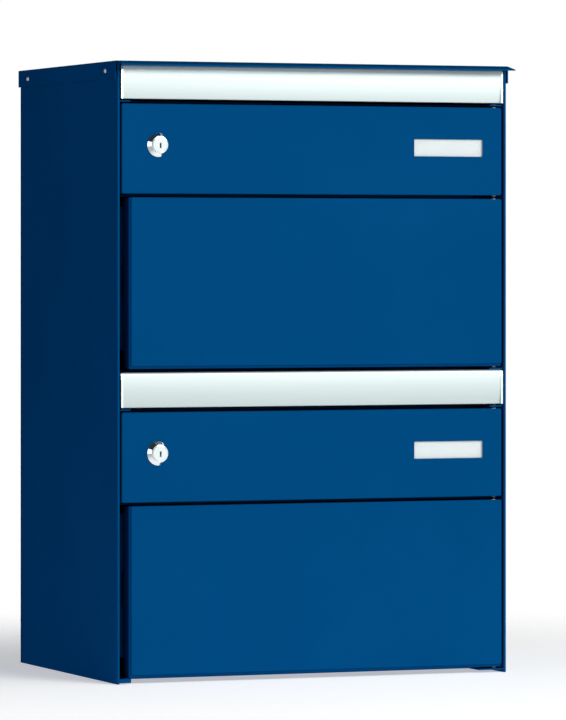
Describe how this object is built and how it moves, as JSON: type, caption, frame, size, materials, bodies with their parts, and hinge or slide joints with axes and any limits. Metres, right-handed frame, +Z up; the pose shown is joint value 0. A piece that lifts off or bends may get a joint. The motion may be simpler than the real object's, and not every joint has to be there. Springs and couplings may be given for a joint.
{
  "type": "mailbox",
  "caption": "Wall letterbox with two stacked units, each with an aluminium insertion flap, a lockable letter door and a parcel door below it, under a common drip roof.",
  "frame": {"origin": "centre of the outline, at the level of the side panels' lower edges", "axes": "+X to the right of someone facing the doors, +Y to the back and the wall, +Z up"},
  "size_m": [0.4206, 0.312, 0.605],
  "materials": {
    "powder_coat": "deep blue satin powder coat",
    "powder_coat_navy": "navy satin powder coat",
    "anodised": "satin anodised extrusion",
    "anodised_cap": "bright anodised",
    "chrome": "polished chrome plate",
    "stainless": "bright turned",
    "dark_steel": "black oxide",
    "zinc_steel": "zinc plated",
    "black_plastic": "matt moulded",
    "rubber": "matt",
    "nylon": "natural white, satin",
    "card": "blank white card",
    "clear_cover": "clear, glossy"
  },
  "bodies": {
    "housing": {"left_side_panel": "powder_coat", "right_side_panel": "powder_coat", "back_panel": "powder_coat", "back_screws": "zinc_steel", "bottom_panel": "powder_coat", "lower_letter_floor": "powder_coat", "divider_shelf": "powder_coat", "upper_letter_floor": "powder_coat", "weld_studs": "zinc_steel", "stud_nuts": "zinc_steel", "roof": "powder_coat", "roof_screws": "stainless", "roof_nuts": "zinc_steel", "roof_spacers": "black_plastic", "flap_pivot_pins": "dark_steel", "hinge_rod_clips": "black_plastic", "lower_sill_rail": "powder_coat", "lower_hinge_rod": "dark_steel", "lower_parcel_door_stop": "powder_coat", "lower_magnet_catch": "black_plastic", "lower_lock_strike": "zinc_steel", "lower_buffers": "rubber", "upper_sill_rail": "powder_coat", "upper_hinge_rod": "dark_steel", "upper_parcel_door_stop": "powder_coat", "upper_magnet_catch": "black_plastic", "upper_lock_strike": "zinc_steel", "upper_buffers": "rubber"},
    "lower_flap": {"lower_flap": "anodised", "lower_flap_end_caps": "anodised_cap"},
    "lower_letter_door": {"lower_letter_door": "powder_coat", "lower_letter_door_bushes": "nylon", "lower_lock_housing": "chrome", "lower_lock_nut": "zinc_steel", "lower_name_plate_holder": "nylon", "lower_name_card": "card", "lower_name_window": "clear_cover"},
    "lower_lock": {"lower_lock_plug": "chrome", "lower_lock_cam": "zinc_steel", "lower_cam_screw": "zinc_steel"},
    "lower_parcel_door": {"lower_parcel_door_front": "powder_coat", "lower_parcel_door_tray": "powder_coat_navy", "lower_parcel_door_bushes": "nylon", "lower_magnet_plate": "zinc_steel"},
    "upper_flap": {"upper_flap": "anodised", "upper_flap_end_caps": "anodised_cap"},
    "upper_letter_door": {"upper_letter_door": "powder_coat", "upper_letter_door_bushes": "nylon", "upper_lock_housing": "chrome", "upper_lock_nut": "zinc_steel", "upper_name_plate_holder": "nylon", "upper_name_card": "card", "upper_name_window": "clear_cover"},
    "upper_lock": {"upper_lock_plug": "chrome", "upper_lock_cam": "zinc_steel", "upper_cam_screw": "zinc_steel"},
    "upper_parcel_door": {"upper_parcel_door_front": "powder_coat", "upper_parcel_door_tray": "powder_coat_navy", "upper_parcel_door_bushes": "nylon", "upper_magnet_plate": "zinc_steel"}
  },
  "joints": [
    {"name": "lower_flap_hinge", "type": "hinge", "parent": "housing", "child": "lower_flap", "pos_m": [0, -0.135, 0.2995], "axis": [-1, 0, 0], "range_deg": [0, 70]},
    {"name": "lower_letter_door_hinge", "type": "hinge", "parent": "housing", "child": "lower_letter_door", "pos_m": [0.1943, -0.133, 0.21975], "axis": [0, 0, 1], "range_deg": [0, 110]},
    {"name": "lower_lock_turn", "type": "hinge", "parent": "lower_letter_door", "child": "lower_lock", "pos_m": [-0.1636, -0.138, 0.2235], "axis": [0, 1, 0], "range_deg": [0, 90]},
    {"name": "lower_parcel_door_hinge", "type": "hinge", "parent": "housing", "child": "lower_parcel_door", "pos_m": [0.1943, -0.133, 0.089], "axis": [0, 0, 1], "range_deg": [0, 110]},
    {"name": "upper_flap_hinge", "type": "hinge", "parent": "housing", "child": "upper_flap", "pos_m": [0, -0.135, 0.5995], "axis": [-1, 0, 0], "range_deg": [0, 70]},
    {"name": "upper_letter_door_hinge", "type": "hinge", "parent": "housing", "child": "upper_letter_door", "pos_m": [0.1943, -0.133, 0.51975], "axis": [0, 0, 1], "range_deg": [0, 110]},
    {"name": "upper_lock_turn", "type": "hinge", "parent": "upper_letter_door", "child": "upper_lock", "pos_m": [-0.1636, -0.138, 0.5235], "axis": [0, 1, 0], "range_deg": [0, 90]},
    {"name": "upper_parcel_door_hinge", "type": "hinge", "parent": "housing", "child": "upper_parcel_door", "pos_m": [0.1943, -0.133, 0.389], "axis": [0, 0, 1], "range_deg": [0, 110]}
  ]
}
